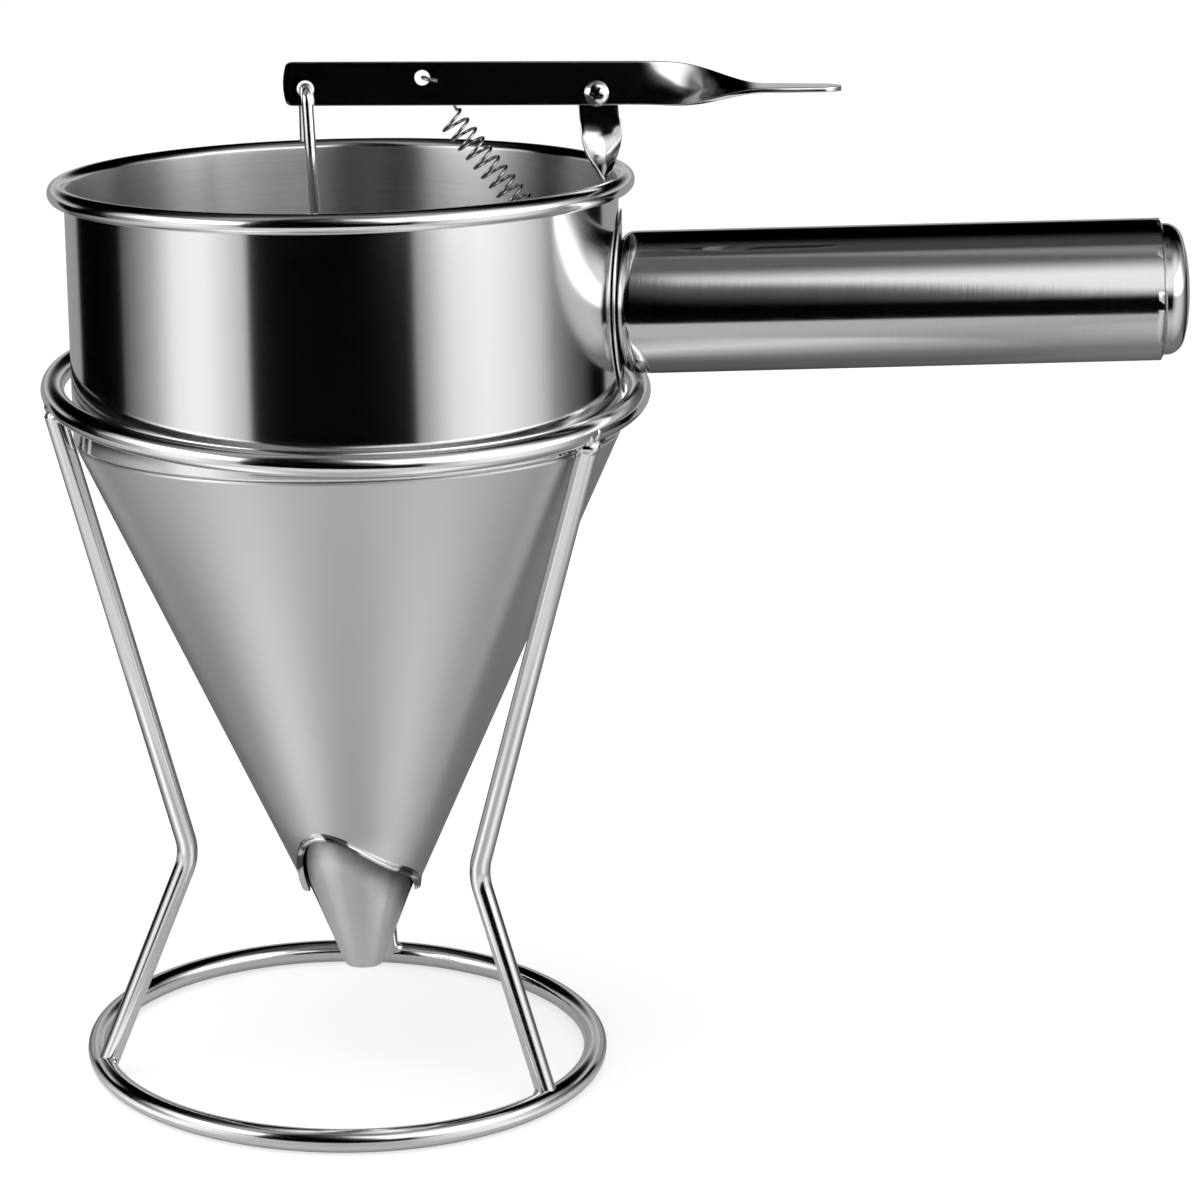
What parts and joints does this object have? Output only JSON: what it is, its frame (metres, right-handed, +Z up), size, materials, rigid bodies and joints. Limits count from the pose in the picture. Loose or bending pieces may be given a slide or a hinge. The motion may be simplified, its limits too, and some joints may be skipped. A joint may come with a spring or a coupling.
{
  "type": "batter dispenser",
  "caption": "Hand-held steel funnel with a tube handle and a sprung thumb lever that lifts a rod valve in its outlet, standing in a bent-wire stand.",
  "frame": {"origin": "middle of the whole object's box, on the surface that the stand's base ring rests on", "axes": "+X along the handle and away from the bowl, +Y to the back (away from the side that shows the lever), +Z up"},
  "size_m": [0.2748, 0.1468, 0.2525],
  "materials": {
    "bright_wire": "mirror-bright plated steel wire",
    "polished_sheet": "polished stainless steel sheet",
    "satin_sheet": "fine satin stainless steel sheet, brushed round its axis",
    "polished_strap": "polished stainless steel strap",
    "bright_hardware": "bright plated steel hardware",
    "spring_wire": "drawn stainless steel spring wire",
    "valve_wire": "bright stainless steel wire",
    "plug_rubber": "dark food-grade rubber"
  },
  "bodies": {
    "stand": {"stand_top_ring": "bright_wire", "stand_base_ring": "bright_wire", "stand_leg_left": "bright_wire", "stand_leg_right": "bright_wire", "stand_leg_back": "bright_wire"},
    "funnel": {"funnel_wall": "polished_sheet", "funnel_cone": "satin_sheet", "nozzle": "satin_sheet", "handle_flange": "polished_sheet", "handle_tube": "satin_sheet", "handle_cap": "satin_sheet", "pivot_post": "polished_strap", "pivot_screw": "bright_hardware", "pivot_washer": "bright_hardware", "pivot_nut": "bright_hardware", "return_spring": "spring_wire"},
    "lever": {"lever": "polished_strap"},
    "valve": {"valve_rod": "valve_wire", "valve_plug": "plug_rubber"}
  },
  "joints": [
    {"name": "funnel_lift", "type": "slide", "parent": "stand", "child": "funnel", "axis": [-0.0313, 0.0872, 0.9957], "range_m": [0, 0.15]},
    {"name": "lever_pivot", "type": "hinge", "parent": "funnel", "child": "lever", "pos_m": [-0.00488, 0.00288, 0.24475], "axis": [0.0027, 0.9962, -0.0871], "range_deg": [0, 15], "stiffness_Nm_per_rad": 1.2, "springref_deg": -14.32, "deforming": ["return_spring"]},
    {"name": "valve_hang", "type": "hinge", "parent": "lever", "child": "valve", "pos_m": [-0.07389, 0.00307, 0.24469], "axis": [0.0027, 0.9962, -0.0871], "range_deg": [-15, 0]}
  ],
  "couplings": [
    {"joint": "valve_hang", "follows": "lever_pivot", "ratio": -1}
  ]
}
